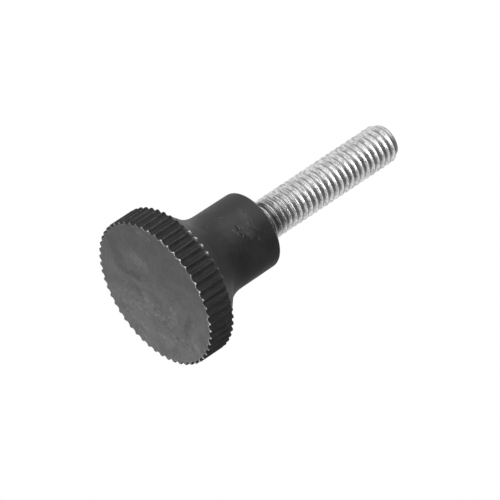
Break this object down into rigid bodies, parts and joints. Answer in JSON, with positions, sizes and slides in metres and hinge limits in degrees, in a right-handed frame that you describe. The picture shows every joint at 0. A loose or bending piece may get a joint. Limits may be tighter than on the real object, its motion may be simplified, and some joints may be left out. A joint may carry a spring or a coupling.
{
  "type": "adjustment knob",
  "caption": "Round black plastic adjustment knob with a straight-knurled rim, a flat face and a flared hub, on a moulded-in zinc-plated threaded steel stud turned by hand to clamp or adjust.",
  "frame": {"origin": "centre of the flat face on the head, on which the knob stands", "axes": "+Z along the knob's axis, from the flat face through the hub to the tip of the stud"},
  "size_m": [0.0226, 0.0226, 0.0445],
  "materials": {
    "black_plastic": "moulded black plastic with a matte, lightly mottled and scuffed face and a darker knurled rim",
    "zinc_steel": "bright zinc-plated steel with a rolled thread"
  },
  "bodies": {
    "root": {"knob_head": "black_plastic", "threaded_stud": "zinc_steel"}
  },
  "joints": []
}
